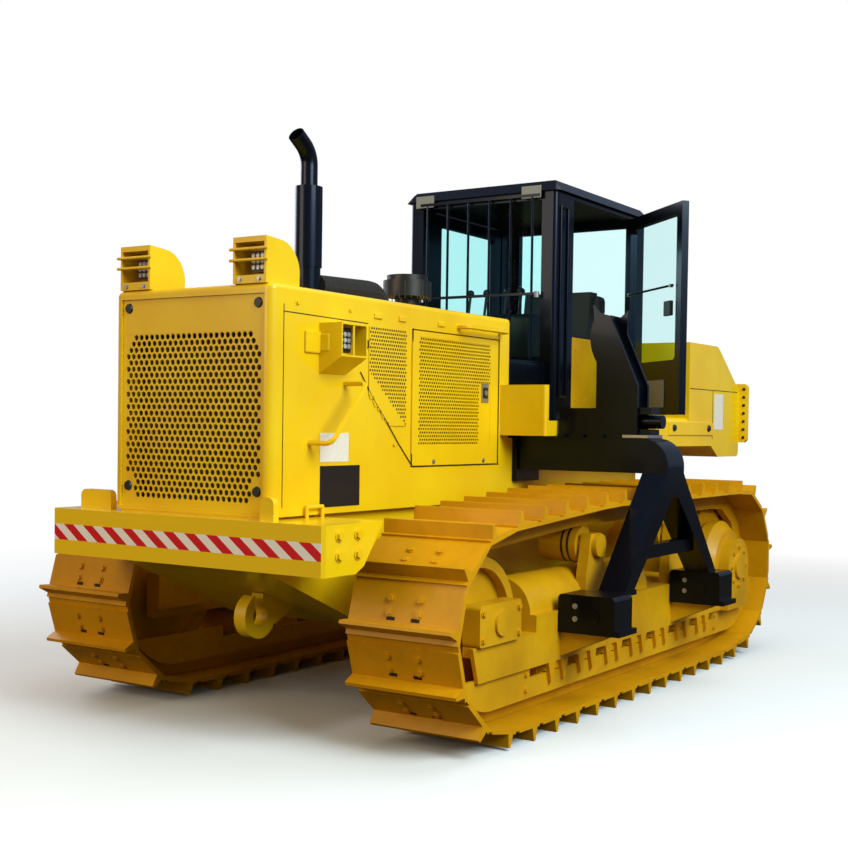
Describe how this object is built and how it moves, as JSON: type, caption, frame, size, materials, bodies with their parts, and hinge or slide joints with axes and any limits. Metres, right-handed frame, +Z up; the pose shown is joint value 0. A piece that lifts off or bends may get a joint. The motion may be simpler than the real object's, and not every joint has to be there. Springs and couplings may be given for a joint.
{
  "type": "pipelayer",
  "caption": "Crawler pipelayer base machine with cab, perforated hood, tracked undercarriage and a black side frame with tower that carries a boom.",
  "frame": {"origin": "on the ground, on the machine's centre plane, midway between the sprocket and idler axles", "axes": "+X forward, +Y to the machine's left where the side frame stands, +Z up"},
  "size_m": [4.728, 2.808, 2.9348],
  "materials": {
    "yellow_paint": "gloss enamel",
    "track_steel": "painted cast steel",
    "dark_steel": "oiled dark steel",
    "radiator_black": "matt black fins",
    "black_paint": "satin black enamel",
    "black_wrap": "woven heat wrap",
    "black_plastic": "moulded plastic",
    "lamp_black": "lamp shell and lens",
    "clear_glass": "clear tinted glass",
    "seat_vinyl": "black vinyl"
  },
  "bodies": {
    "chassis": {"left_track": "track_steel", "right_track": "track_steel", "sprockets": "track_steel", "idlers": "yellow_paint", "idler_blocks": "yellow_paint", "final_drives": "yellow_paint", "track_rollers": "track_steel", "carrier_rollers": "yellow_paint", "left_track_frame": "yellow_paint", "right_track_frame": "yellow_paint", "roller_guards": "yellow_paint", "cross_shafts": "dark_steel", "main_frame": "yellow_paint", "front_bumper": "yellow_paint", "tow_hook": "yellow_paint", "engine_block": "dark_steel", "radiator_core": "radiator_black", "radiator_housing": "yellow_paint", "front_grille": "yellow_paint", "hood_top": "yellow_paint", "hood_sides": "yellow_paint", "exhaust_stack": "black_paint", "exhaust_elbow": "black_wrap", "air_precleaner": "black_plastic", "lamp_boxes": "yellow_paint", "headlamps": "lamp_black", "side_lamp_box": "yellow_paint", "grab_rails": "yellow_paint", "cab_base": "yellow_paint", "cowl": "black_paint", "side_boxes": "yellow_paint", "fenders": "yellow_paint", "cab_frame": "black_paint", "cab_roof": "black_paint", "cab_glass": "clear_glass", "window_guard": "black_paint", "operator_seat": "seat_vinyl", "control_console": "black_plastic", "fuel_tank": "yellow_paint", "tank_support": "yellow_paint", "rear_guard": "yellow_paint", "drawbar": "yellow_paint", "side_beam": "black_paint", "side_legs": "black_paint", "leg_brace": "black_paint", "boom_seats": "black_paint", "boom_tower": "black_paint"},
    "left_door": {"left_door": "black_paint", "left_door_glass": "clear_glass"},
    "right_door": {"right_door": "black_paint", "right_door_glass": "clear_glass"},
    "left_engine_door": {"left_engine_door": "yellow_paint"},
    "right_engine_door": {"right_engine_door": "yellow_paint"}
  },
  "joints": [
    {"name": "left_door_hinge", "type": "hinge", "parent": "chassis", "child": "left_door", "pos_m": [-1.262, 0.56, 2], "axis": [0, 0, 1], "range_deg": [-49, 51]},
    {"name": "right_door_hinge", "type": "hinge", "parent": "chassis", "child": "right_door", "pos_m": [-1.262, -0.51, 2], "axis": [0, 0, -1], "range_deg": [0, 100]},
    {"name": "left_engine_door_hinge", "type": "hinge", "parent": "chassis", "child": "left_engine_door", "pos_m": [1.157, 0.492, 1.6], "axis": [0, 0, -1], "range_deg": [0, 110]},
    {"name": "right_engine_door_hinge", "type": "hinge", "parent": "chassis", "child": "right_engine_door", "pos_m": [1.157, -0.492, 1.6], "axis": [0, 0, 1], "range_deg": [0, 110]}
  ]
}
